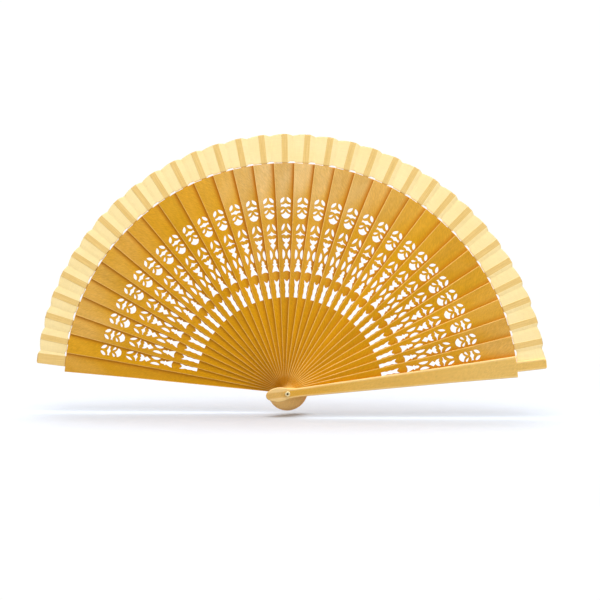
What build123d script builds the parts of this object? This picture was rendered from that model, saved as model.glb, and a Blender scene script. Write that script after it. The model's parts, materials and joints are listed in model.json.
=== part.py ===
from build123d import *
import math
import os

# Folding hand fan, millimetres.  It stands open and upright in the XZ plane,
# with the origin at the bottom centre of its bounding box.  The rivet axis runs
# along Y, -Y is the front (show) side, +Z is up.  Every rib is a flat layer of
# its own, stacked along Y.  Ribs are numbered from the rear guard (0) through
# the sticks to the front guard.  Rib outlines are drawn with x running out from
# the rivet and y across the rib.

# ---- opening and stacking ---------------------------------------------------
STICKS = 32                 # pierced sticks between the two guards
REAR_GUARD = 0              # rib numbers of the guards
FRONT_GUARD = STICKS + 1
OPEN_ANGLE = 166.0          # rear guard axis to front guard axis
REAR_AXIS = 172.85          # rear guard axis above +X
SPREAD = 2.1                # how far the middle sticks lean from even spacing
SPREAD_SKEW = 1.4           # moves the greatest lean towards the front guard
SPREAD_POWER = 1.6          # narrows the lean around its greatest value

PITCH = 0.70                # layer to layer
GAP = 0.08                  # air between neighbouring layers
FRONT_INNER = -10.92        # Y of the front guard's inner face
FRONT, REAR = -1, 1         # outward direction along Y on each side

# ---- ribs -------------------------------------------------------------------
STICK_T = 0.62
STICK_ROUND = 0.22          # rounding of the blade's rim, front and back
STICK_HEAD = 15.8           # stick end below the rivet
BLADE_END = 188.0           # top of the wooden gorge

SLIP_T = 0.30               # thinned rib that carries the leaf
SLIP_ROOT = 186.0
SLIP_END = 209.0
SLIP_HALF = 2.25

GUARD_T = 2.2
GUARD_ROUND = 0.7           # rounding of the outer edges of a guard
GUARD_HEAD = 17.9           # guard end below the rivet
TIP_END = 212.1
TIP_HALF = 4.2
TIP_ROUND = 1.6             # size of the tip's rounded corners
TIP_ROUND_MID = 0.47        # inset of the middle of that rounding
TIP_RELIEF = 0.30           # guard tip thinned on the inside for the leaf
RELIEF_HALF = 12            # the relief cutter overruns the tip on every side
RELIEF_OVERRUN = 5

# ---- leaf -------------------------------------------------------------------
LEAF_IN = 189.5             # inner and outer radius
LEAF_OUT = 211.4
LEAF_T = 0.13
LEAF_FRONT = 0.13           # leaf front behind the stick front face
LEAF_CLEAR = 0.02           # leaf behind the floor of the front guard's relief
MOUNTAIN = 0.68             # fold line, degrees counter-clockwise of a stick axis
GUARD_FOLD = 1.30           # the same at a guard
LEAF_TAIL = 1.0             # leaf end, degrees clockwise of the front guard axis
RISER = 0.05                # angular width of the steps between layers

# ---- rivet ------------------------------------------------------------------
RIVET_Z = STICK_HEAD        # height of the rivet axis
PIN_R = 1.10
HOLE_R = 1.15
FLARE_R = 1.60
DIMPLE_R = 0.75
WASHER_R = 2.15
WASHER_T = 0.60
WASHER_ROUND = 0.35         # outer rim
WASHER_CUP = 0.5            # chamfer around the hole
WASHER_GAP = 0.02
SEAT_R = 2.40               # sunk seat of the rear washer
SEAT_DEPTH = 0.66

# ---- outlines, upper half (y >= 0) ------------------------------------------
# Head: points (x, y) joined by tangent arcs, from the end below the rivet,
# by way of nose, shoulder and flank, to the waist.
WAIST = (14.0, 3.72)
STICK_HEAD_POINTS = [
    (-STICK_HEAD, 0), (1.5 - STICK_HEAD, 3.0), (-7.6, 5.75), (-2.6, 5.2), WAIST,
]
GUARD_HEAD_POINTS = [
    (-GUARD_HEAD, 0), (1.7 - GUARD_HEAD, 3.25), (-8.4, 5.95), (-3.0, 5.35), WAIST,
]
# Side: points (x, y) joined by straight lines, from the waist outwards.
STICK_SIDE = [(79.0, 5.4), (127.0, 6.72), (155.0, 7.75), (BLADE_END, 9.2), (BLADE_END, 0)]
GUARD_SIDE = [
    (62.0, 5.0), (131.0, 6.75), (BLADE_END, 8.7),
    (BLADE_END, TIP_HALF), (TIP_END - TIP_ROUND, TIP_HALF),
]
# Rounded ends: start, middle and end of an arc.
GUARD_CORNER = [
    (TIP_END - TIP_ROUND, TIP_HALF),
    (TIP_END - TIP_ROUND_MID, TIP_HALF - TIP_ROUND_MID),
    (TIP_END, TIP_HALF - TIP_ROUND),
]
SLIP_ARC = [(SLIP_END - 1.5, SLIP_HALF), (SLIP_END - 0.45, 1.7), (SLIP_END, 0)]

# ---- pierced pattern --------------------------------------------------------
# Openings that come in pairs, one side of the centre line: each is a closed
# ring of splines through points (x, y).
PAIRED_OPENINGS = [
    [   # upper petal of the round flower
        [(155.7, 4.0), (157.0, 4.3), (158.5, 3.8), (159.8, 2.4), (160.4, 1.2)],
        [(160.4, 1.2), (158.9, 0.95), (157.3, 1.6), (156.2, 2.8), (155.7, 4.0)],
    ],
    [   # small leaf of the round flower
        [(150.7, 0.9), (150.1, 2.3), (149.4, 3.6), (148.3, 4.2)],
        [(148.3, 4.2), (147.8, 3.1), (148.7, 2.0), (150.7, 0.9)],
    ],
    [   # long petal of the second group
        [(138.8, 1.2), (137.6, 2.5), (135.6, 3.45), (132.9, 3.6)],
        [(132.9, 3.6), (134.2, 2.2), (136.2, 1.2), (138.8, 1.2)],
    ],
    [   # side lens beside the crossed web
        [(117.8, 2.85), (113.8, 3.25), (109.6, 2.75)],
        [(109.6, 2.75), (111.5, 1.45), (113.8, 1.05), (116.0, 1.5), (117.8, 2.85)],
    ],
]
# Openings on the centre line, upper half: each edge is its kind, its points
# (x, y) and, for some splines, the start and end tangents.
CENTRE_OPENINGS = [
    [   # winged star
        (Spline, [(155.3, 0), (154.7, 1.0), (154.2, 2.4), (154.5, 3.95)]),
        (Spline, [(154.5, 3.95), (153.4, 3.75), (152.3, 4.1)]),
        (Spline, [(152.3, 4.1), (152.8, 2.4), (152.5, 1.1), (151.8, 0)]),
    ],
    [   # cup under the flower
        (Spline, [(148.6, 0), (147.6, 0.7), (146.7, 1.9), (146.2, 3.5)]),
        (Spline, [(146.2, 3.5), (145.0, 3.35), (143.6, 2.1), (142.9, 0)], (-1, 0.4), (0, -1)),
    ],
    [   # spread star of the second group
        (Spline, [(132.9, 0), (131.6, 0.8), (130.7, 2.0), (130.1, 3.5)]),
        (Line, [(130.1, 3.5), (129.3, 3.4)]),
        (Spline, [(129.3, 3.4), (129.9, 2.0), (129.5, 0.9), (128.9, 0)]),
    ],
    [   # lobed cup running into a pointed bulb
        (Spline, [(126.8, 0), (126.2, 1.1), (127.2, 2.75)]),
        (Spline, [(127.2, 2.75), (125.2, 2.75), (124.0, 2.0), (123.1, 0.75)]),
        (Spline, [(123.1, 0.75), (122.3, 1.3), (121.3, 2.25)]),
        (Spline, [(121.3, 2.25), (120.0, 1.4), (119.0, 0.75), (117.7, 0)]),
    ],
    [   # pawn standing on the solid dome
        (Spline, [(109.7, 0), (109.2, 0.75), (108.0, 1.15), (106.5, 1.05)], (0, 1), (-1, 0)),
        (Polyline, [(106.5, 1.05), (105.5, 2.05), (104.6, 1.1)]),
        (Spline, [(104.6, 1.1), (103.2, 1.65), (101.5, 2.3), (99.0, 2.6)]),
        (Spline, [(99.0, 2.6), (99.75, 1.4), (100.0, 0)], (1, -1), (0, -1)),
    ],
    [   # long window with a forked top
        (Spline, [(91.4, 0), (91.8, 0.85), (93.3, 1.95)], (0, 1), (1, 0.6)),
        (Spline, [(93.3, 1.95), (91.4, 1.9), (90.0, 1.7), (88.4, 1.25),
                  (86.2, 1.5), (83.2, 1.15), (81.4, 1.45)]),
        (Polyline, [(81.4, 1.45), (78.2, 1.42), (78.2, 0)]),
    ],
]


# ---- placing ----------------------------------------------------------------
def axis_angle(k):
    """Angle of rib k above +X, in degrees."""
    u = k / FRONT_GUARD
    turn = OPEN_ANGLE * u
    if k not in (REAR_GUARD, FRONT_GUARD):
        turn += SPREAD * math.sin(math.pi * u**SPREAD_SKEW) ** SPREAD_POWER
    return REAR_AXIS - turn


def front_face(k):
    """Y of the front face of stick k."""
    return FRONT_INNER + GAP + PITCH * (STICKS - k)


REAR_INNER = front_face(1) + STICK_T + GAP      # Y of the rear guard's inner face


def front_plane(y, angle=0):
    """Plane facing the front, centred on the rivet, local x at angle above +X."""
    a = math.radians(angle)
    return Plane(origin=(0, y, RIVET_Z), x_dir=(math.cos(a), 0, math.sin(a)), z_dir=(0, -1, 0))


def outermost(outward):
    """Index of the outermost item in a list sorted along Y."""
    return 0 if outward == FRONT else -1


def save(part, name):
    part.label = name
    export_step(part, f"parts/{name}.step")


# ---- sketches ---------------------------------------------------------------
def rib_outline(head, side, corner=None):
    """Symmetric rib: arcs round the head, straight sides, optional rounded tip."""
    with BuildSketch() as outline:
        with BuildLine():
            start, heading = head[0], (0, 1)
            for point in head[1:]:
                arc = TangentArc(start, point, tangent=heading)
                start, heading = arc @ 1, arc % 1
            Polyline(start, *side)
            if corner:
                ThreePointArc(*corner)
                Line(corner[-1], (corner[-1][0], 0))
            mirror(about=Plane.XZ)
        make_face()
    return outline.sketch


def slip_outline():
    with BuildSketch() as outline:
        with BuildLine():
            Polyline((SLIP_ROOT, 0), (SLIP_ROOT, SLIP_HALF), SLIP_ARC[0])
            ThreePointArc(*SLIP_ARC)
            mirror(about=Plane.XZ)
        make_face()
    return outline.sketch


def piercing():
    with BuildSketch() as openings:
        for splines in PAIRED_OPENINGS:
            with BuildLine():
                for points in splines:
                    Spline(*points)
            make_face()
        mirror(about=Plane.XZ)
        for edges in CENTRE_OPENINGS:
            with BuildLine():
                for kind, points, *tangents in edges:
                    options = {"tangents": tangents} if tangents else {}
                    kind(*points, **options)
                mirror(about=Plane.XZ)
            make_face()
    return openings.sketch


# ---- guards -----------------------------------------------------------------
def build_guard(k, inner_y, outward):
    angle = axis_angle(k)
    inner_plane = front_plane(inner_y, angle)
    forward = -outward          # sign of an outward extrusion, as planes face -Y
    with BuildPart() as guard:
        with BuildSketch(inner_plane):
            add(rib_outline(GUARD_HEAD_POINTS, GUARD_SIDE, GUARD_CORNER))
        extrude(amount=forward * GUARD_T)
        fillet(guard.faces().sort_by(Axis.Y)[outermost(outward)].edges(), GUARD_ROUND)
        with BuildSketch(inner_plane):
            Circle(HOLE_R)
        extrude(amount=forward * GUARD_T, mode=Mode.SUBTRACT)
        if outward == REAR:     # only the rear washer is sunk
            with BuildSketch(front_plane(inner_y + GUARD_T, angle)):
                Circle(SEAT_R)
            extrude(amount=SEAT_DEPTH, mode=Mode.SUBTRACT)
        with BuildSketch(inner_plane):
            with BuildLine():
                Polyline(
                    (BLADE_END, -RELIEF_HALF), (TIP_END + RELIEF_OVERRUN, -RELIEF_HALF),
                    (TIP_END + RELIEF_OVERRUN, RELIEF_HALF), (BLADE_END, RELIEF_HALF),
                    close=True,
                )
            make_face()
        extrude(amount=forward * TIP_RELIEF, mode=Mode.SUBTRACT)
    return guard.part


# ---- pierced sticks ---------------------------------------------------------
def build_stick_pattern():
    """One stick lying on XY, back face down, with its slip flush at the back."""
    with BuildPart() as pattern:
        with BuildSketch(Plane.XY):
            add(rib_outline(STICK_HEAD_POINTS, STICK_SIDE))
        extrude(amount=STICK_T)
        faces = pattern.faces().sort_by(Axis.Z)
        fillet(faces[0].edges() + faces[-1].edges(), STICK_ROUND)
        with BuildSketch(Plane.XY):
            add(piercing())
            Circle(HOLE_R)
        extrude(amount=STICK_T, mode=Mode.SUBTRACT)
        with BuildSketch(Plane.XY):
            add(slip_outline())
        extrude(amount=SLIP_T)
    return pattern.part


def place_stick(pattern, k):
    back = front_plane(front_face(k) + STICK_T, axis_angle(k))
    with BuildPart() as stick:
        add(pattern.moved(Location(back)))
    return stick.part


# ---- pleated leaf: one sheet stepping forward from slip to slip -------------
def leaf_front(k):
    """Y of the front of the leaf where it lies on rib k."""
    if k == FRONT_GUARD:
        return FRONT_INNER - TIP_RELIEF + LEAF_CLEAR
    if k == REAR_GUARD:
        return REAR_INNER + LEAF_FRONT
    return front_face(k) + LEAF_FRONT


def fold_angle(k):
    """Angle of the fold on the counter-clockwise side of rib k."""
    return axis_angle(k) + (GUARD_FOLD if k in (REAR_GUARD, FRONT_GUARD) else MOUNTAIN)


def build_leaf():
    with BuildPart() as leaf:
        for k in range(FRONT_GUARD + 1):
            last = k == FRONT_GUARD
            lower = axis_angle(k) - LEAF_TAIL if last else fold_angle(k + 1)
            back = leaf_front(k) + LEAF_T
            # tread: the band lying on this rib and on to the next fold
            bands = [(fold_angle(k) - lower, LEAF_T)]
            if not last:
                # riser: the step forward at the fold to the next rib
                bands.append((RISER, back - leaf_front(k + 1)))
            for width, depth in bands:
                with BuildSketch(front_plane(back)):
                    with BuildLine():
                        inner = CenterArc((0, 0), LEAF_IN, lower, width)
                        outer = CenterArc((0, 0), LEAF_OUT, lower, width)
                        Line(inner @ 0, outer @ 0)
                        Line(inner @ 1, outer @ 1)
                    make_face()
                extrude(amount=depth)
    return leaf.part


# ---- rivet: headed pin and two cupped washers -------------------------------
FRONT_SEAT = FRONT_INNER - GUARD_T - WASHER_GAP
REAR_SEAT = REAR_INNER + GUARD_T - SEAT_DEPTH + WASHER_GAP
FRONT_TOP = FRONT_SEAT - WASHER_T
REAR_TOP = REAR_SEAT + WASHER_T

# One end of the pin, centre to shank: (radius, depth below the washer's top)
PIN_END = [
    (0, 0.45), (DIMPLE_R - 0.15, 0.45), (DIMPLE_R, -0.02), (FLARE_R, 0.02), (PIN_R, 0.52),
]


def build_washer(seat_y, outward):
    plane = Plane(origin=(0, seat_y, RIVET_Z), x_dir=(1, 0, 0), z_dir=(0, outward, 0))
    with BuildPart() as washer:
        with BuildSketch(plane):
            Circle(WASHER_R)
            Circle(HOLE_R, mode=Mode.SUBTRACT)
        extrude(amount=WASHER_T)
        # the outer face's rim is rounded, then its hole is chamfered
        for finish, size, which in ((fillet, WASHER_ROUND, -1), (chamfer, WASHER_CUP, 0)):
            circles = washer.edges().filter_by(GeomType.CIRCLE)
            outer_face = circles.group_by(Axis.Y)[outermost(outward)]
            finish(outer_face.sort_by(SortBy.RADIUS)[which], size)
    return washer.part


def build_pin():
    """Half section through the rivet axis, turned about it."""
    front_end = [(radius, FRONT_TOP + depth) for radius, depth in PIN_END]
    rear_end = [(radius, REAR_TOP - depth) for radius, depth in reversed(PIN_END)]
    with BuildPart() as pin:
        with BuildSketch(Plane(origin=(0, 0, RIVET_Z), x_dir=(1, 0, 0), z_dir=(0, 0, 1))):
            with BuildLine():
                Polyline(*front_end, *rear_end, close=True)
            make_face()
        revolve(axis=Axis((0, 0, RIVET_Z), (0, 1, 0)))
    return pin.part


# ---- build and write --------------------------------------------------------
os.makedirs("parts", exist_ok=True)

save(build_guard(FRONT_GUARD, FRONT_INNER, FRONT), "front_guard")
save(build_guard(REAR_GUARD, REAR_INNER, REAR), "rear_guard")

stick_pattern = build_stick_pattern()
for k in range(1, STICKS + 1):
    save(place_stick(stick_pattern, k), f"stick_{k:02d}")

save(build_leaf(), "leaf")
save(build_washer(FRONT_SEAT, FRONT), "rivet_washer_front")
save(build_washer(REAR_SEAT, REAR), "rivet_washer_rear")
save(build_pin(), "rivet_pin")
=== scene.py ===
"""Folding hand fan, standing open.

The rivet axis runs along Y, -Y is the show side and +Z is up.  The wooden ribs and the brass
rivet are CAD nodes that only get materials; the pleated cloth leaf is built here.
Angles are in degrees, counter-clockwise from +X as seen from the front.
"""
import json
import math
import random
from dataclasses import dataclass
from typing import Callable

import bpy
import numpy as np
from mathutils import Matrix, Vector


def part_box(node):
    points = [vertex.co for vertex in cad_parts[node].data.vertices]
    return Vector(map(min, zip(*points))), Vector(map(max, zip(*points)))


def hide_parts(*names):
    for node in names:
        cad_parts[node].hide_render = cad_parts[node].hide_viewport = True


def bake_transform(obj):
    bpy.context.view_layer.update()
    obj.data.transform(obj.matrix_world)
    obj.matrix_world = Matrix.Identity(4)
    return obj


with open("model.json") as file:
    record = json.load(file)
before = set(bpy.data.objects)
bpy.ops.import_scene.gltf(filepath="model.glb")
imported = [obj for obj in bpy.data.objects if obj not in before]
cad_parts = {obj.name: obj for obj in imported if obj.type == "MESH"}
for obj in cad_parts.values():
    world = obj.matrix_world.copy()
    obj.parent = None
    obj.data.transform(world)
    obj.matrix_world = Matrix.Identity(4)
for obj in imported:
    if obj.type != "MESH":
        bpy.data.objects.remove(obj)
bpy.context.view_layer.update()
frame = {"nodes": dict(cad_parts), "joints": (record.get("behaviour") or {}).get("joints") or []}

scene = bpy.context.scene
rng = random.Random(41)
MM = 0.001

# ---------------------------------------------------------------------------
# The ribs as they stand in the open fan, from the rear guard forward
# ---------------------------------------------------------------------------
fold = next(j for j in frame["joints"] if j["name"] == "fan_fold")
RIVET = Vector(fold["pos_m"])
OPEN = float(fold["range_deg"][1])
sticks = sorted(n for n in frame["nodes"] if n.startswith("stick_"))
ribs = ["rear_guard"] + sticks + ["front_guard"]
LAST = len(ribs) - 1


def coordinates(mesh):
    co = np.zeros(len(mesh.vertices) * 3, np.float32)
    mesh.vertices.foreach_get("co", co)
    return co.reshape(-1, 3).astype(float)


def rib_angle(node):
    """Angle of the line from the rivet to the rib's tip."""
    p = coordinates(frame["nodes"][node].data) - np.array(RIVET)
    radius = np.hypot(p[:, 0], p[:, 2])
    tip = p[radius > radius.max() - 1e-6]
    return math.degrees(math.atan2(tip[:, 2].mean(), tip[:, 0].mean()))


rib_angles = [rib_angle(n) for n in ribs]
front_faces = [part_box(n)[0].y / MM for n in ribs]      # Y of each rib's front, mm

# Half the width of a rib: (distance from the rivet, half width), mm.
STICK_EDGE = [(14, 3.72), (79, 5.4), (127, 6.72), (155, 7.75), (188, 9.2)]     # and rear guard
FRONT_GUARD_EDGE = [(14, 3.72), (62, 5.0), (131, 6.75), (188, 8.7)]
SHOULDER = 0.188            # m from the rivet; past it the front guard is a narrow tip
TIP_HALF_WIDTH = 0.0042     # m


def curve(x, table):
    """Straight-line reading of a table of (x, value)."""
    return float(np.interp(x, *zip(*table)))


# ---------------------------------------------------------------------------
# Shader node helpers
# ---------------------------------------------------------------------------
def srgb(*rgb):
    """Linear RGBA from 0-255 sRGB."""
    def linear(c):
        c /= 255.0
        return c / 12.92 if c <= 0.04045 else ((c + 0.055) / 1.055) ** 2.4
    return (*map(linear, rgb), 1.0)


class Nodes:
    """The emptied node tree of a material or a world."""

    def __init__(self, owner):
        owner.use_nodes = True
        self.owner = owner
        self.tree = owner.node_tree
        self.tree.nodes.clear()

    def put(self, node, inputs):
        """Link or set inputs, given as {name or index: socket or value}."""
        for key, value in inputs.items():
            if isinstance(value, bpy.types.NodeSocket):
                self.tree.links.new(value, node.inputs[key])
            elif value is not None:
                node.inputs[key].default_value = value

    def add(self, kind, inputs=None, **props):
        node = self.tree.nodes.new(kind)
        for key, value in props.items():
            setattr(node, key, value)
        self.put(node, inputs or {})
        return node

    def math(self, operation, a, b=None, c=None):
        return self.add("ShaderNodeMath", {0: a, 1: b, 2: c}, operation=operation).outputs[0]

    def plus(self, a, b):
        return self.math("ADD", a, b)

    def minus(self, a, b):
        return self.math("SUBTRACT", a, b)

    def times(self, a, b):
        return self.math("MULTIPLY", a, b)

    def times_plus(self, a, b, c):
        return self.math("MULTIPLY_ADD", a, b, c)

    def vary(self, value, *textures):
        """Add (texture, amount) pairs, each swinging about nothing at mid-grey."""
        for texture, amount in textures:
            value = self.times_plus(self.minus(texture, 0.5), amount, value)
        return value

    def ramp(self, value, over, to=(0.0, 1.0), smooth=False):
        """Carry the range `over` onto the range `to`, clamped."""
        node = self.add("ShaderNodeMapRange", clamp=True)
        if smooth:
            node.interpolation_type = "SMOOTHSTEP"
        self.put(node, dict(enumerate((value, *over, *to))))
        return node.outputs[0]

    def mix(self, factor, a, b):
        node = self.add("ShaderNodeMix", data_type="RGBA", clamp_factor=True)
        self.put(node, {0: factor, 6: a, 7: b})
        return node.outputs[2]

    def object_coords(self):
        return self.add("ShaderNodeTexCoord").outputs["Object"]

    def scaled(self, vector, scale, offset=(0, 0, 0)):
        inputs = {0: vector, 1: scale, 2: offset}
        return self.add("ShaderNodeVectorMath", inputs, operation="MULTIPLY_ADD").outputs[0]

    def noise(self, vector, scale, detail, rough=0.5, distort=0.0, offset=(0, 0, 0)):
        return self.add("ShaderNodeTexNoise", {
            "Vector": self.scaled(vector, scale, offset), "Scale": 1.0, "Detail": detail,
            "Roughness": rough, "Distortion": distort,
        }).outputs["Fac"]

    def split(self, vector):
        return self.add("ShaderNodeSeparateXYZ", {0: vector}).outputs

    def bump(self, height, strength, distance):
        inputs = {"Strength": strength, "Distance": distance, "Height": height}
        return self.add("ShaderNodeBump", inputs).outputs["Normal"]

    def brightness(self, colour, factor):
        inputs = {0: colour, "Scale": factor}
        return self.add("ShaderNodeVectorMath", inputs, operation="SCALE").outputs[0]

    def rivet_space(self, y=0, angle=0):
        """Position from the rivet, with x turned out along a rib at this angle; metres."""
        return self.add("ShaderNodeMapping", {
            "Location": (RIVET.x, y, RIVET.z),
            "Rotation": (0, math.radians(-angle), 0),
            "Vector": self.object_coords(),
        }, vector_type="TEXTURE").outputs["Vector"]


class Surface(Nodes):
    """A new material with one Principled shader."""

    def __init__(self, name):
        super().__init__(bpy.data.materials.new(name))
        self.out = self.add("ShaderNodeOutputMaterial")
        self.bsdf = self.add("ShaderNodeBsdfPrincipled")
        self.put(self.out, {"Surface": self.bsdf.outputs["BSDF"]})


# ---------------------------------------------------------------------------
# Materials (lengths in metres unless marked)
# ---------------------------------------------------------------------------
# painted sheen: the colour of a pale reflection painted on the blade tips
PAINTED_SHEEN_COLOUR = srgb(225, 189, 127)
PORE = srgb(140, 84, 8)
# painted shade in the creases between ribs
CREASE_PAINTED_SHADE = srgb(184, 106, 0)
# painted shadow: a soft dark strip where the rib in front shades this one
STRIP_PAINTED_SHADOW = srgb(192, 112, 0)
SAWN_WALL = srgb(168, 104, 14)
# pale edge colours: partly wear, partly a painted highlight on edges that catch the light
GUARD_WEAR_AND_HIGHLIGHT, STICK_WEAR_AND_HIGHLIGHT = srgb(244, 214, 156), srgb(246, 206, 122)
EDGE_HIGHLIGHT_WIDENING = [(70, 1), (84, 0)]        # (rib angle, widening of the painted edge highlight): the right of the open fan, where light catches the edges
SHADOW_STRIP_STRENGTH = [(20, 0.62), (60, 0.78), (80, 0.95), (105, 0.95), (125, 0.66), (170, 0.55)]


def half_width(m, along, k):
    """Half the width of rib k at a distance along it."""
    table = FRONT_GUARD_EDGE if k == LAST else STICK_EDGE
    total = table[0][1] * MM
    for (s0, h0), (s1, h1) in zip(table, table[1:]):
        total = m.plus(m.ramp(along, over=(s0 * MM, s1 * MM), to=(0.0, (h1 - h0) * MM)), total)
    return total


def painted_shadow_strip(m, k, along, across, blotch, normal):
    """Mask of a painted shadow on the front of rib k, cast by the rib in front and strongest
    beside its edge.
    """
    turn = math.radians(rib_angles[k] - rib_angles[k + 1])
    cos, sin = math.cos(turn), math.sin(turn)
    next_along = m.minus(m.times(along, cos), m.times(across, sin))
    next_across = m.plus(m.times(across, cos), m.times(along, sin))
    clear = m.minus(next_across, half_width(m, next_along, k + 1))
    strength = curve(rib_angles[k], SHADOW_STRIP_STRENGTH)
    shadow_strip = m.ramp(clear, over=(0.0046, 0.0), to=(0.0, strength), smooth=True)
    shadow_strip = m.times(shadow_strip, m.ramp(along, over=(0.050, 0.130), to=(0.25, 1.0)))
    shadow_strip = m.times(shadow_strip, m.ramp(blotch, over=(0.30, 0.62), to=(0.70, 1.0)))
    return m.times(shadow_strip, m.math("LESS_THAN", m.split(normal)[1], 0.3))


def wood(k, near, middle, far, head, painted_sheen, tone, seed, rough):
    """Varnished wood for rib k, grain along the rib; colours run out from the rivet."""
    m = Surface("wood_" + ribs[k])
    front_guard = k == LAST
    p = m.rivet_space(y=front_faces[k] * MM, angle=rib_angles[k])
    along, _, across = m.split(p)
    offset = (seed * 3.1, seed * 7.7, seed * 1.3)
    fibre = m.noise(p, (60, 900, 1500), detail=6.0, rough=0.62, distort=0.15, offset=offset)
    figure = m.noise(p, (9, 60, 150), detail=3.0, rough=0.55, distort=0.8, offset=offset)
    pores = m.noise(p, (260, 2500, 4200), detail=2.0, offset=offset)
    blotch = m.noise(p, (26, 80, 60), detail=4.0, rough=0.6, offset=offset)
    # short flecks of ray tissue lie across the grain at a slant
    slant = {"Rotation": (0, math.radians(38), 0), "Vector": p}
    slanted = m.add("ShaderNodeMapping", slant).outputs["Vector"]
    fleck = m.noise(slanted, (330, 900, 1900), detail=2.0, offset=offset)

    colour = m.mix(m.ramp(along, over=(0.012, 0.075), smooth=True), near, middle)
    colour = m.mix(m.ramp(along, over=(0.095, 0.175), smooth=True), colour, far)
    # the head end is paler raw wood, painted lighter still against the shade the front guard
    # casts on it
    colour = m.mix(m.ramp(along, over=(0.004, -0.006), smooth=True), colour, head)
    if painted_sheen > 0:        # painted sheen: a pale reflection painted towards the tip, patchy and slanting across the rib
        skewed = m.plus(along, m.times(across, 1.6))
        painted_sheen_mask = m.times(m.ramp(skewed, over=(0.142, 0.180), smooth=True),
                        m.ramp(blotch, over=(0.28, 0.58), to=(0.55, 1.0)))
        faint = m.ramp(along, over=(0.060, 0.130), to=(0.0, 0.35), smooth=True)
        painted_sheen_mask = m.math("MAXIMUM", painted_sheen_mask, m.times(faint, blotch))
        colour = m.mix(m.times(painted_sheen_mask, painted_sheen), colour, PAINTED_SHEEN_COLOUR)
    light = m.vary(tone, (fibre, 0.20), (figure, 0.22), (blotch, 0.18), (fleck, 0.50))
    colour = m.brightness(colour, light)
    colour = m.mix(m.ramp(pores, over=(0.30, 0.40), to=(0.18, 0.0)), colour, PORE)

    # distance in from the rib's long edge, and the pale band there, partly wear and partly
    # painted highlight
    normal = m.add("ShaderNodeNewGeometry").outputs["Normal"]
    facing = m.math("ABSOLUTE", m.split(normal)[1])
    edge = m.minus(half_width(m, along, k), m.math("ABSOLUTE", across))
    if front_guard:
        tip = m.minus(TIP_HALF_WIDTH, m.math("ABSOLUTE", across))
        past = m.math("GREATER_THAN", along, SHOULDER)
        edge = m.plus(m.times(past, tip), m.times(m.minus(1.0, past), edge))
        band = (0.0018, 0.0009)
    else:
        highlight_widening = curve(rib_angles[k], EDGE_HIGHLIGHT_WIDENING)
        band = (0.00068 + 0.00020 * highlight_widening, 0.00028 + 0.00010 * highlight_widening)
    outer = m.ramp(edge, over=band)
    inside = m.minus(1.0, outer)

    # painted shade: darker where one rib lies against the next, read from ambient occlusion
    ao = m.add("ShaderNodeAmbientOcclusion", {"Distance": 0.009}, samples=10)
    crease_shade = m.ramp(ao.outputs["AO"], over=(1.0, 0.86), to=(0.0, 0.36))
    crease_shade = m.times(crease_shade, m.ramp(along, over=(0.012, 0.105), to=(0.12, 1.0)))
    crease_shade = m.times(crease_shade, m.times_plus(inside, 0.9, 0.1))
    colour = m.mix(crease_shade, colour, CREASE_PAINTED_SHADE)
    if not front_guard:
        # painted shadow of the rib in front, beside its edge
        shadow_strip = painted_shadow_strip(m, k, along, across, blotch, normal)
        colour = m.mix(m.times(shadow_strip, inside), colour, STRIP_PAINTED_SHADOW)
    # the sawn walls of the piercing are darker; the outer edges are worn pale and carry a painted
    # highlight, wider on the right of the open fan
    wall = m.times(m.times(m.ramp(facing, over=(0.30, 0.05)), 0.45), inside)
    colour = m.mix(wall, colour, SAWN_WALL)
    wear_and_highlight = m.times(outer, m.ramp(fibre, over=(0.30, 0.60), to=(0.55, 1.0)))
    amount, wear_and_highlight_colour = (0.60, GUARD_WEAR_AND_HIGHLIGHT) if front_guard else (0.55, STICK_WEAR_AND_HIGHLIGHT)
    colour = m.mix(m.times(wear_and_highlight, amount), colour, wear_and_highlight_colour)

    gloss = m.times_plus(fibre, 0.20, rough - 0.10)
    gloss = m.plus(gloss, m.times(wear_and_highlight, -0.08))
    height = m.times_plus(pores, 0.35, fibre)
    height = m.times_plus(fleck, 0.30, height)
    m.put(m.bsdf, {
        "Base Color": colour, "Roughness": gloss, "Coat Weight": 0.015,
        "Coat Roughness": 0.25, "Specular IOR Level": 0.10,
        "Normal": m.bump(height, strength=0.35, distance=0.00005),
    })
    return m.owner


def brass(name, dark_centre):
    """Patinated, scratched brass with turning rings round the rivet axis."""
    m = Surface(name)
    p = m.rivet_space()
    x, _, z = m.split(p)
    radius = m.math("SQRT", m.plus(m.times(x, x), m.times(z, z)))
    scratch = m.noise(p, (5000, 5000, 900), detail=4.0, rough=0.6)
    patina = m.noise(p, (900, 900, 900), detail=4.0, rough=0.55)
    bright, yellowed = srgb(250, 238, 198), srgb(236, 214, 150)
    colour = m.mix(m.ramp(patina, over=(0.35, 0.70)), bright, yellowed)
    if dark_centre:
        # dark centre: darker patina and painted shade in the pin's dimple
        colour = m.mix(m.ramp(radius, over=(0.00105, 0.00070)), colour, srgb(58, 44, 24))
    scratched = m.ramp(scratch, over=(0.62, 0.72), to=(0.0, 0.35))
    colour = m.mix(scratched, colour, srgb(140, 112, 60))
    rings = m.math("SINE", m.times(radius, 52000.0))
    height = m.times_plus(rings, 0.12, scratch)
    m.put(m.bsdf, {
        "Base Color": colour, "Metallic": 1.0,
        "Roughness": m.times_plus(patina, 0.25, 0.32),
        "Normal": m.bump(height, strength=0.3, distance=0.00003),
    })
    return m.owner


WARP_PITCH, WEFT_PITCH = 0.46, 0.50     # mm


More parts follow.
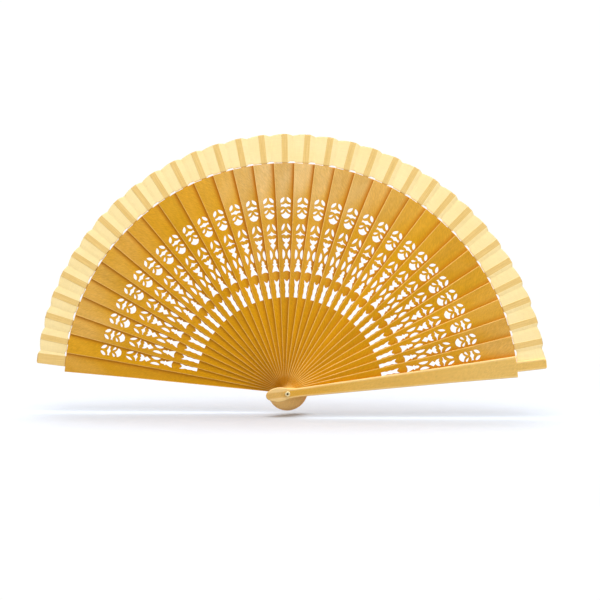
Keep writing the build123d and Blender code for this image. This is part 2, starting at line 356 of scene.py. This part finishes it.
def cloth(name):
    """Plain weave, slightly uneven yarn; painted shade and wood tint where a slip behind keeps
    the light from shining through the cloth.
    """
    m = Surface(name)
    uv = m.add("ShaderNodeUVMap", uv_map="weave").outputs["UV"]     # mm across and along
    u, v, _ = m.split(uv)
    warp = m.math("SINE", m.times(u, 2 * math.pi / WARP_PITCH))
    weft = m.math("SINE", m.times(v, 2 * math.pi / WEFT_PITCH))
    over = m.times(warp, weft)
    slub_u = m.noise(uv, (1.9, 0.05, 0), detail=2.0, rough=0.6)
    slub_v = m.noise(uv, (0.035, 1.7, 0), detail=2.0, rough=0.6)
    grid_u = m.noise(uv, (1.15, 0.16, 3.0), detail=1.0)
    grid_v = m.noise(uv, (0.16, 1.15, 9.0), detail=1.0)
    fade = m.noise(uv, (0.02, 0.05, 1.0), detail=3.0)
    slip = m.add("ShaderNodeAttribute", attribute_name="slip").outputs["Fac"]
    base = m.mix(m.ramp(fade, over=(0.3, 0.7)), srgb(250, 226, 163), srgb(253, 231, 174))
    # painted shade: the slip behind the cloth blocks the light that shines through it
    slip_shade = m.mix(m.ramp(slub_u, over=(0.35, 0.65)), srgb(225, 186, 108), srgb(236, 202, 130))
    colour = m.mix(m.times(slip, 0.92), base, slip_shade)
    light = m.vary(1.0, (slub_u, 0.10), (slub_v, 0.10), (grid_u, 0.08), (grid_v, 0.08))
    light = m.times_plus(over, 0.022, light)
    height = m.times_plus(over, 0.25, m.plus(slub_u, slub_v))
    m.put(m.bsdf, {
        "Base Color": m.brightness(colour, light),
        "Roughness": m.times_plus(slub_v, 0.15, 0.76),
        "Specular IOR Level": 0.18, "Sheen Weight": 0.12, "Sheen Roughness": 0.45,
        "Normal": m.bump(height, strength=0.30, distance=0.00008),
    })
    return m.owner


# ---------------------------------------------------------------------------
# The wooden ribs and the rivet: materials only
# ---------------------------------------------------------------------------
# (rib angle, strength of the painted sheen, a reflection painted towards the tips)
PAINTED_SHEEN_STRENGTH = [
    (0, 0.60), (10, 0.54), (20, 0.26), (32, 0.10), (50, 0.12), (62, 0.34), (80, 0.76), (95, 0.90),
    (104, 0.58), (112, 0.12), (125, 0.06), (138, 0.24), (150, 0.36), (162, 0.36), (168, 0.06),
    (173, 0.28),
]
# (rib angle, brightness added)
TONE_SHIFT = [
    (0, -0.02), (14, -0.02), (24, -0.04), (48, -0.04), (58, -0.01), (130, -0.01), (150, 0.02),
]


def finish_node(name, material):
    node = frame["nodes"][name]
    node.data.materials.clear()
    node.data.materials.append(material)


for k in range(LAST):
    tone = 0.95 + rng.uniform(-0.05, 0.05) + curve(rib_angles[k], TONE_SHIFT)
    warm = rng.uniform(-1, 1)
    material = wood(
        k,
        near=srgb(208 + 3 * warm, 142 + 3 * warm, 0),
        middle=srgb(208 + 3 * warm, 146 + 2 * warm, 0),
        far=srgb(209 + 2 * warm, 150 + 3 * warm, 2),
        head=srgb(255, 211, 143),
        painted_sheen=min(1.0, curve(rib_angles[k], PAINTED_SHEEN_STRENGTH) * rng.uniform(0.85, 1.15)),
        tone=tone, seed=k, rough=0.44,
    )
    finish_node(ribs[k], material)
# the front guard is the same wood as the sticks; its paler colours are a painted sheen on its
# show face
front_guard_wood = wood(
    LAST, near=srgb(214, 163, 64), middle=srgb(216, 172, 86), far=srgb(218, 178, 98),
    head=srgb(216, 172, 96), painted_sheen=0.0, tone=1.01, seed=77, rough=0.38,
)
finish_node(ribs[LAST], front_guard_wood)
for part in ("pin", "washer_front", "washer_rear"):
    finish_node("rivet_" + part, brass("brass_" + part, dark_centre=part == "pin"))

# ---------------------------------------------------------------------------
# The leaf (mm and degrees)
# ---------------------------------------------------------------------------
# A pleat runs clockwise from rib k to rib k+1: over the front of slip k, a free face back to
# the valley, a free face forward again, and round the edge of slip k+1.  Each row also records
# the share of the closing turn meant for it, a rib's row that of its rib and a free row enough to
# reach the closed stack; nothing in this script applies it.
SLIP_HALF = 2.25            # half width of a stick's slip
GUARD_HALF = 4.2            # half width of the cloth glued to a guard
THICKNESS = 0.10
COLUMNS = 24                # divisions from the inner edge to the outer edge
INNER_RADIUS, INNER_TRIM = 188.42, 1.05
OUTER_RADIUS, OUTER_TRIM = 211.70, 1.50
WEAVE_LENGTH = 22.0         # weave UV from the inner edge to the outer edge
GUARD_THINNING = 0.30       # taken off each guard's inward face at the tip
REAR_SEAT = front_faces[0] + GUARD_THINNING - 0.10
FRONT_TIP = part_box(ribs[LAST])[1].y / MM - GUARD_THINNING
CLOSED = rib_angles[0]      # every rib closes onto the rear guard

layers = list(front_faces)
layers[0] = 2 * layers[1] - layers[2]       # one stick's step behind the first stick

# Rows between two others: (fraction of the way, inner trim)
BACKWARD_FACE = [(0.22, 0.15), (0.34, 0.90), (0.66, 1.0), (0.90, 1.0)]
FORWARD_FACE = [(0.12, 1.0), (0.36, 0.95), (0.52, 0.25), (0.74, 0.0)]
LAST_STRETCH = [(0.30, 0.0), (0.60, 0.0), (0.86, 0.0)]


@dataclass
class Row:
    """One line of leaf vertices from the inner edge to the outer edge."""
    angle: Callable             # of the radius
    turn: float                 # share of the fan's closing turn meant for it; not used
    y: Callable                 # of the fraction from the inner edge outwards
    inner_trim: float = 0.0     # how far the inner edge is cut back, 0 to 1
    outer_trim: float = 0.0     # the same at the outer edge
    slip: float = 0.0           # 1 where glued down on a slip
    give: float = 0.0           # how far the cloth may settle


def on_rib(k, across, y, slip=0.0):
    return Row(
        angle=lambda r: rib_angles[k] + math.degrees(math.asin(across / r)),
        turn=(CLOSED - rib_angles[k]) / OPEN, y=lambda v: y, slip=slip,
    )


def free(rest, closed, y, **trims):
    return Row(angle=lambda r: rest, turn=(closed - rest) / OPEN, y=y, **trims)


def between(a, b, fractions, bulge=0.0, give=0.0):
    """Rows part of the way from a to b, bulging forward most at half way."""
    def row(u, inner_trim):
        arch = math.sin(math.pi * u)
        return Row(
            angle=lambda r: a.angle(r) * (1 - u) + b.angle(r) * u,
            turn=a.turn * (1 - u) + b.turn * u,
            y=lambda v: a.y(v) * (1 - u) + b.y(v) * u - bulge * arch,
            inner_trim=inner_trim,
            outer_trim=a.outer_trim * (1 - u) + b.outer_trim * u,
            give=give * arch,
        )
    return [row(u, trim) for u, trim in fractions]


def glued_rows(k):
    """The cloth on rib k, counter-clockwise edge first."""
    if k == LAST:       # behind the front guard
        places = (GUARD_HALF - 0.1, 2.0, 0.0, -2.0, -3.6)
        return [on_rib(k, across, FRONT_TIP + 0.10) for across in places]
    half, seat = (SLIP_HALF, layers[k] + 0.20) if k else (GUARD_HALF, REAR_SEAT)
    places = (half + 0.12, half - 0.10, half * 0.33, -half * 0.33, -half)
    rows = [on_rib(k, across, seat, slip=1.0) for across in places]
    return rows + [on_rib(k, -half - 0.12, seat)]


def pleat_rows(k, start, width_vary, depth_vary):
    """The free cloth from rib k's last glued row to the edge of rib k+1."""
    if k:
        depth = 1.15 + 0.12 * depth_vary
        width = 2.1 + 0.8 * rib_angles[k] / 180.0 + 0.08 * width_vary
        valley_angle = rib_angles[k] + 0.68 - width
        valley_y = layers[k]
    else:               # the first pleat has least room when the fan is shut
        depth = 0.75
        valley_angle = CLOSED - 1.75
        valley_y = REAR_SEAT
    valley = free(valley_angle, CLOSED - 1.98, lambda v: valley_y + depth * (0.86 + 0.22 * v),
                  inner_trim=1.0, outer_trim=1.0)
    middle_y = layers[k] + (0.24 if k else 0.10)
    middle = free(0.5 * (valley_angle + rib_angles[k + 1] + 0.7), CLOSED - 0.78,
                  lambda v: middle_y, outer_trim=0.45)
    bulge = 0.10 + 0.08 * rng.uniform(-1, 1)
    if k == 0:          # the draw above is still taken, to keep the later ones in step
        bulge = 0.05
    if k + 1 == LAST:
        ends = [on_rib(LAST, 4.5, FRONT_TIP + 0.14)]
    else:
        ends = [on_rib(k + 1, SLIP_HALF + 0.27, layers[k] - 0.02),
                on_rib(k + 1, SLIP_HALF + 0.24, layers[k] - 0.27)]
    loose = 1.0 if k else 0.0
    last_stretch = between(middle, ends[0], LAST_STRETCH)
    for row in last_stretch:
        row.give = loose * 0.03
    return [
        *between(start, valley, BACKWARD_FACE, bulge=0.10, give=loose * 0.20), valley,
        *between(valley, middle, FORWARD_FACE, bulge=bulge, give=loose * 0.35), middle,
        *last_stretch, *ends,
    ]


def row_points(row):
    """Vertices of a row in metres, with slightly uneven cut edges."""
    ragged, fray = rng.uniform(-0.10, 0.10), rng.uniform(-0.06, 0.10)
    inner = INNER_RADIUS + INNER_TRIM * row.inner_trim + fray
    outer = OUTER_RADIUS - OUTER_TRIM * row.outer_trim ** 1.3 + ragged
    line = []
    for j in range(COLUMNS + 1):
        v = j / COLUMNS
        r = inner + (outer - inner) * v
        a = math.radians(row.angle(r))
        line.append((RIVET.x + r * math.cos(a) * MM, row.y(v) * MM,
                     RIVET.z + r * math.sin(a) * MM))
    return line


def grid_faces(n, m):
    """Quads over n rows of m vertices."""
    return [(i * m + j, (i + 1) * m + j, (i + 1) * m + j + 1, i * m + j + 1)
            for i in range(n - 1) for j in range(m - 1)]


def settle(xyz, give, frames=28, scale=100.0):
    """Cloth pass: the cloth is cut a little fuller than the ribs spread it, so each free panel
    swells slightly between the glued slips and the pressed folds.  Simulated `scale` times
    life size; no row moves further than its give."""
    n, m = xyz.shape[:2]
    start = xyz.copy()
    unevenness = np.random.default_rng(7).normal(0.0, 0.02 * MM, (n, m))
    start[:, :, 1] += unevenness * (give > 0)[:, None]
    mesh = bpy.data.meshes.new("settling")
    mesh.from_pydata([tuple(p * scale) for p in start.reshape(-1, 3)], [], grid_faces(n, m))
    sheet = bpy.data.objects.new("settling", mesh)
    scene.collection.objects.link(sheet)
    held = sheet.vertex_groups.new(name="held")
    for i in range(n):
        if give[i] <= 0:
            held.add(list(range(i * m, (i + 1) * m)), 1.0, "REPLACE")
    mod = sheet.modifiers.new("cloth", "CLOTH")
    settings = mod.settings
    settings.quality = 6
    settings.mass = 0.05
    settings.tension_stiffness = settings.compression_stiffness = 30.0
    settings.shear_stiffness = 12.0
    settings.bending_stiffness = 0.6
    settings.air_damping = 4.0
    settings.vertex_group_mass = "held"
    settings.shrink_min = -0.010
    settings.effector_weights.gravity = 0.15
    mod.collision_settings.use_collision = False
    mod.collision_settings.use_self_collision = False
    mod.point_cache.frame_start, mod.point_cache.frame_end = 1, frames
    for f in range(1, frames + 1):
        scene.frame_set(f)
    evaluated = sheet.evaluated_get(bpy.context.evaluated_depsgraph_get())
    settled = coordinates(evaluated.to_mesh()).reshape(n, m, 3)
    evaluated.to_mesh_clear()
    scene.frame_set(1)
    bpy.data.objects.remove(sheet)
    bpy.data.meshes.remove(mesh)
    shift = settled / scale - xyz
    far = np.linalg.norm(shift, axis=2)
    limit = give[:, None] * MM
    eased = np.tanh(far / np.maximum(limit, 1e-9)) * limit / np.maximum(far, 1e-12)
    return xyz + shift * np.where(far > 1e-12, eased, 0.0)[:, :, None]


rows = []
for k in range(LAST + 1):
    width_vary = rng.uniform(-1, 1)
    depth_vary = rng.uniform(-1, 1)
    rows += glued_rows(k)
    if k < LAST:
        rows += pleat_rows(k, rows[-1], width_vary, depth_vary)

xyz = np.array([row_points(row) for row in rows])
xyz = settle(xyz, np.array([row.give for row in rows]))


def per_vertex(values):
    return np.repeat(np.array(values, np.float32), COLUMNS + 1)


# weave UV: distance over the pleats by distance out from the inner edge, mm
steps = np.linalg.norm(np.diff(xyz, axis=0), axis=2).mean(axis=1) / MM
over_pleats = np.concatenate([[0.0], np.cumsum(steps)])
faces = grid_faces(len(rows), COLUMNS + 1)
corners = [divmod(vertex, COLUMNS + 1) for face in faces for vertex in face]
uvs = [(over_pleats[i], WEAVE_LENGTH * j / COLUMNS) for i, j in corners]

mesh = bpy.data.meshes.new("cloth_leaf")
mesh.from_pydata([tuple(p) for p in xyz.reshape(-1, 3)], [], faces)
mesh.uv_layers.new(name="weave").data.foreach_set("uv", np.array(uvs, np.float32).ravel())
slip_mask = mesh.attributes.new("slip", "FLOAT", "POINT")
slip_mask.data.foreach_set("value", per_vertex([row.slip for row in rows]))
mesh.validate()
mesh.update()
leaf = bpy.data.objects.new("cloth_leaf", mesh)
scene.collection.objects.link(leaf)
for poly in mesh.polygons:
    poly.use_smooth = True
mesh.materials.append(cloth("leaf_cloth"))
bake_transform(leaf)
thick = leaf.modifiers.new("thickness", "SOLIDIFY")
thick.thickness = THICKNESS * MM
thick.offset = 0.0
thick.use_rim = True
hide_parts("leaf")

# ---------------------------------------------------------------------------
# Floor, lights, world and camera (metres)
# ---------------------------------------------------------------------------
FLOOR_Z = -0.004
BACKDROP_GLOW = 1.02        # brightness of the backdrop and of the world seen past it


def floor_paper():
    """Pale blue paper that fades into an evenly lit white backdrop."""
    m = Surface("floor_paper")
    grain = m.noise(m.object_coords(), (60, 60, 60), detail=4.0)
    paper = m.mix(m.ramp(grain, over=(0.3, 0.7)), (0.800, 0.845, 0.925, 1),
                  (0.815, 0.860, 0.940, 1))
    # what it throws back on the fan is neutral
    seen = m.add("ShaderNodeLightPath").outputs["Is Camera Ray"]
    m.put(m.bsdf, {
        "Roughness": 0.9, "Specular IOR Level": 0.1,
        "Base Color": m.mix(seen, (0.68, 0.68, 0.68, 1), paper),
    })
    place = {0: m.scaled(m.object_coords(), (1.0, 1.6, 0))}
    away = m.add("ShaderNodeVectorMath", place, operation="LENGTH").outputs["Value"]
    glow = m.add("ShaderNodeEmission", {"Strength": BACKDROP_GLOW})
    fade = m.ramp(away, over=(0.34, 0.62), smooth=True)
    sweep = m.add("ShaderNodeMixShader", {0: fade, 1: m.bsdf.outputs[0], 2: glow.outputs[0]})
    m.put(m.out, {"Surface": sweep.outputs[0]})
    return m.owner


floor_mesh = bpy.data.meshes.new("floor")
floor_corners = [(x, y, FLOOR_Z) for x, y in ((-6, -4), (6, -4), (6, 9), (-6, 9))]
floor_mesh.from_pydata(floor_corners, [], [(0, 1, 2, 3)])
floor = bpy.data.objects.new("floor", floor_mesh)
scene.collection.objects.link(floor)
floor_mesh.materials.append(floor_paper())


def area(name, at, aim, size, power, reaches, colour=(1, 1, 1)):
    """A rectangular light that reaches only the objects given."""
    data = bpy.data.lights.new(name, "AREA")
    data.shape = "RECTANGLE"
    data.size, data.size_y = size
    data.energy = power
    data.color = colour
    light = bpy.data.objects.new(name, data)
    scene.collection.objects.link(light)
    light.location = at
    light.rotation_mode = "QUATERNION"
    light.rotation_quaternion = (Vector(aim) - Vector(at)).to_track_quat("-Z", "Y")
    receivers = bpy.data.collections.new(name + "_receivers")
    for o in reaches:
        receivers.objects.link(o)
    light.light_linking.receiver_collection = receivers


solids = [o for n, o in frame["nodes"].items() if n != "leaf"]      # the ribs and the rivet
# the paper is lit from above, before and behind, so the shadow lies as one soft band
for side, y, z, depth, power in (
    ("front", -0.95, 1.70, 1.2, 11.0),
    ("back", 0.95, 1.70, 1.2, 11.0),
    ("top", 0.0, 1.9, 1.6, 26.0),
):
    area("paper_" + side, at=(0.0, y, z), aim=(0.0, 0.0, 0.0), size=(1.6, depth), power=power,
         reaches=[floor])
area("overhead", at=(0.10, 0.10, 1.9), aim=(0.0, 0.05, 0.0), size=(1.7, 2.4), power=28.0,
     reaches=[leaf, *solids])
# a light raking down the face picks out the edges that face up
area("rim", at=(-0.55, -0.20, 1.50), aim=(0, 0, 0.12), size=(0.8, 0.2), power=18.0,
     reaches=solids)
area("key", at=(1.70, -0.68, 1.35), aim=(0, 0, 0.1), size=(0.5, 0.5), power=42.0,
     reaches=solids, colour=(1.0, 0.997, 0.985))
area("front", at=(-0.3, -2.3, 0.7), aim=(0, 0, 0.1), size=(1.0, 0.8), power=6.0,
     reaches=solids)
area("cloth_front", at=(-0.10, -1.55, 2.0), aim=(0, 0, 0.1), size=(1.3, 1.3), power=27.5,
     reaches=[leaf])
area("cloth_fill", at=(0.0, -1.5, 0.05), aim=(0, 0, 0.12), size=(1.4, 0.6), power=5.3,
     reaches=[leaf], colour=(1.0, 0.93, 0.82))

# the world looks white to the camera but lights the fan only softly
scene.world = bpy.data.worlds.new("studio")
w = Nodes(scene.world)
world_out = w.add("ShaderNodeOutputWorld")
white = (1, 1, 1, 1)
seen = w.add("ShaderNodeBackground", {"Color": white, "Strength": BACKDROP_GLOW})
lit = w.add("ShaderNodeBackground", {"Color": white, "Strength": 0.30})
path = w.add("ShaderNodeLightPath")
either = w.add("ShaderNodeMixShader", {
    0: path.outputs["Is Camera Ray"], 1: lit.outputs[0], 2: seen.outputs[0],
})
w.put(world_out, {0: either.outputs[0]})

camera = bpy.data.cameras.new("camera")
camera.sensor_width = 36.0
camera.lens = 110.36
camera.clip_start, camera.clip_end = 0.05, 40.0
cam = bpy.data.objects.new("camera", camera)
scene.collection.objects.link(cam)
# columns: the camera's right, up and backward directions, then its place
cam.matrix_world = Matrix((
    (0.99904813, 0.00043592, 0.04361939, 0.0757409),
    (0.04337262, 0.09675067, -0.99436317, -1.5006939),
    (-0.00465366, 0.99530855, 0.09663967, 0.2375488),
    (0, 0, 0, 1),
))
scene.camera = cam
scene.view_settings.view_transform = "Standard"
scene.view_settings.look = "None"
scene.view_settings.exposure = 0.0
scene.view_settings.gamma = 1.0

bpy.context.view_layer.update()
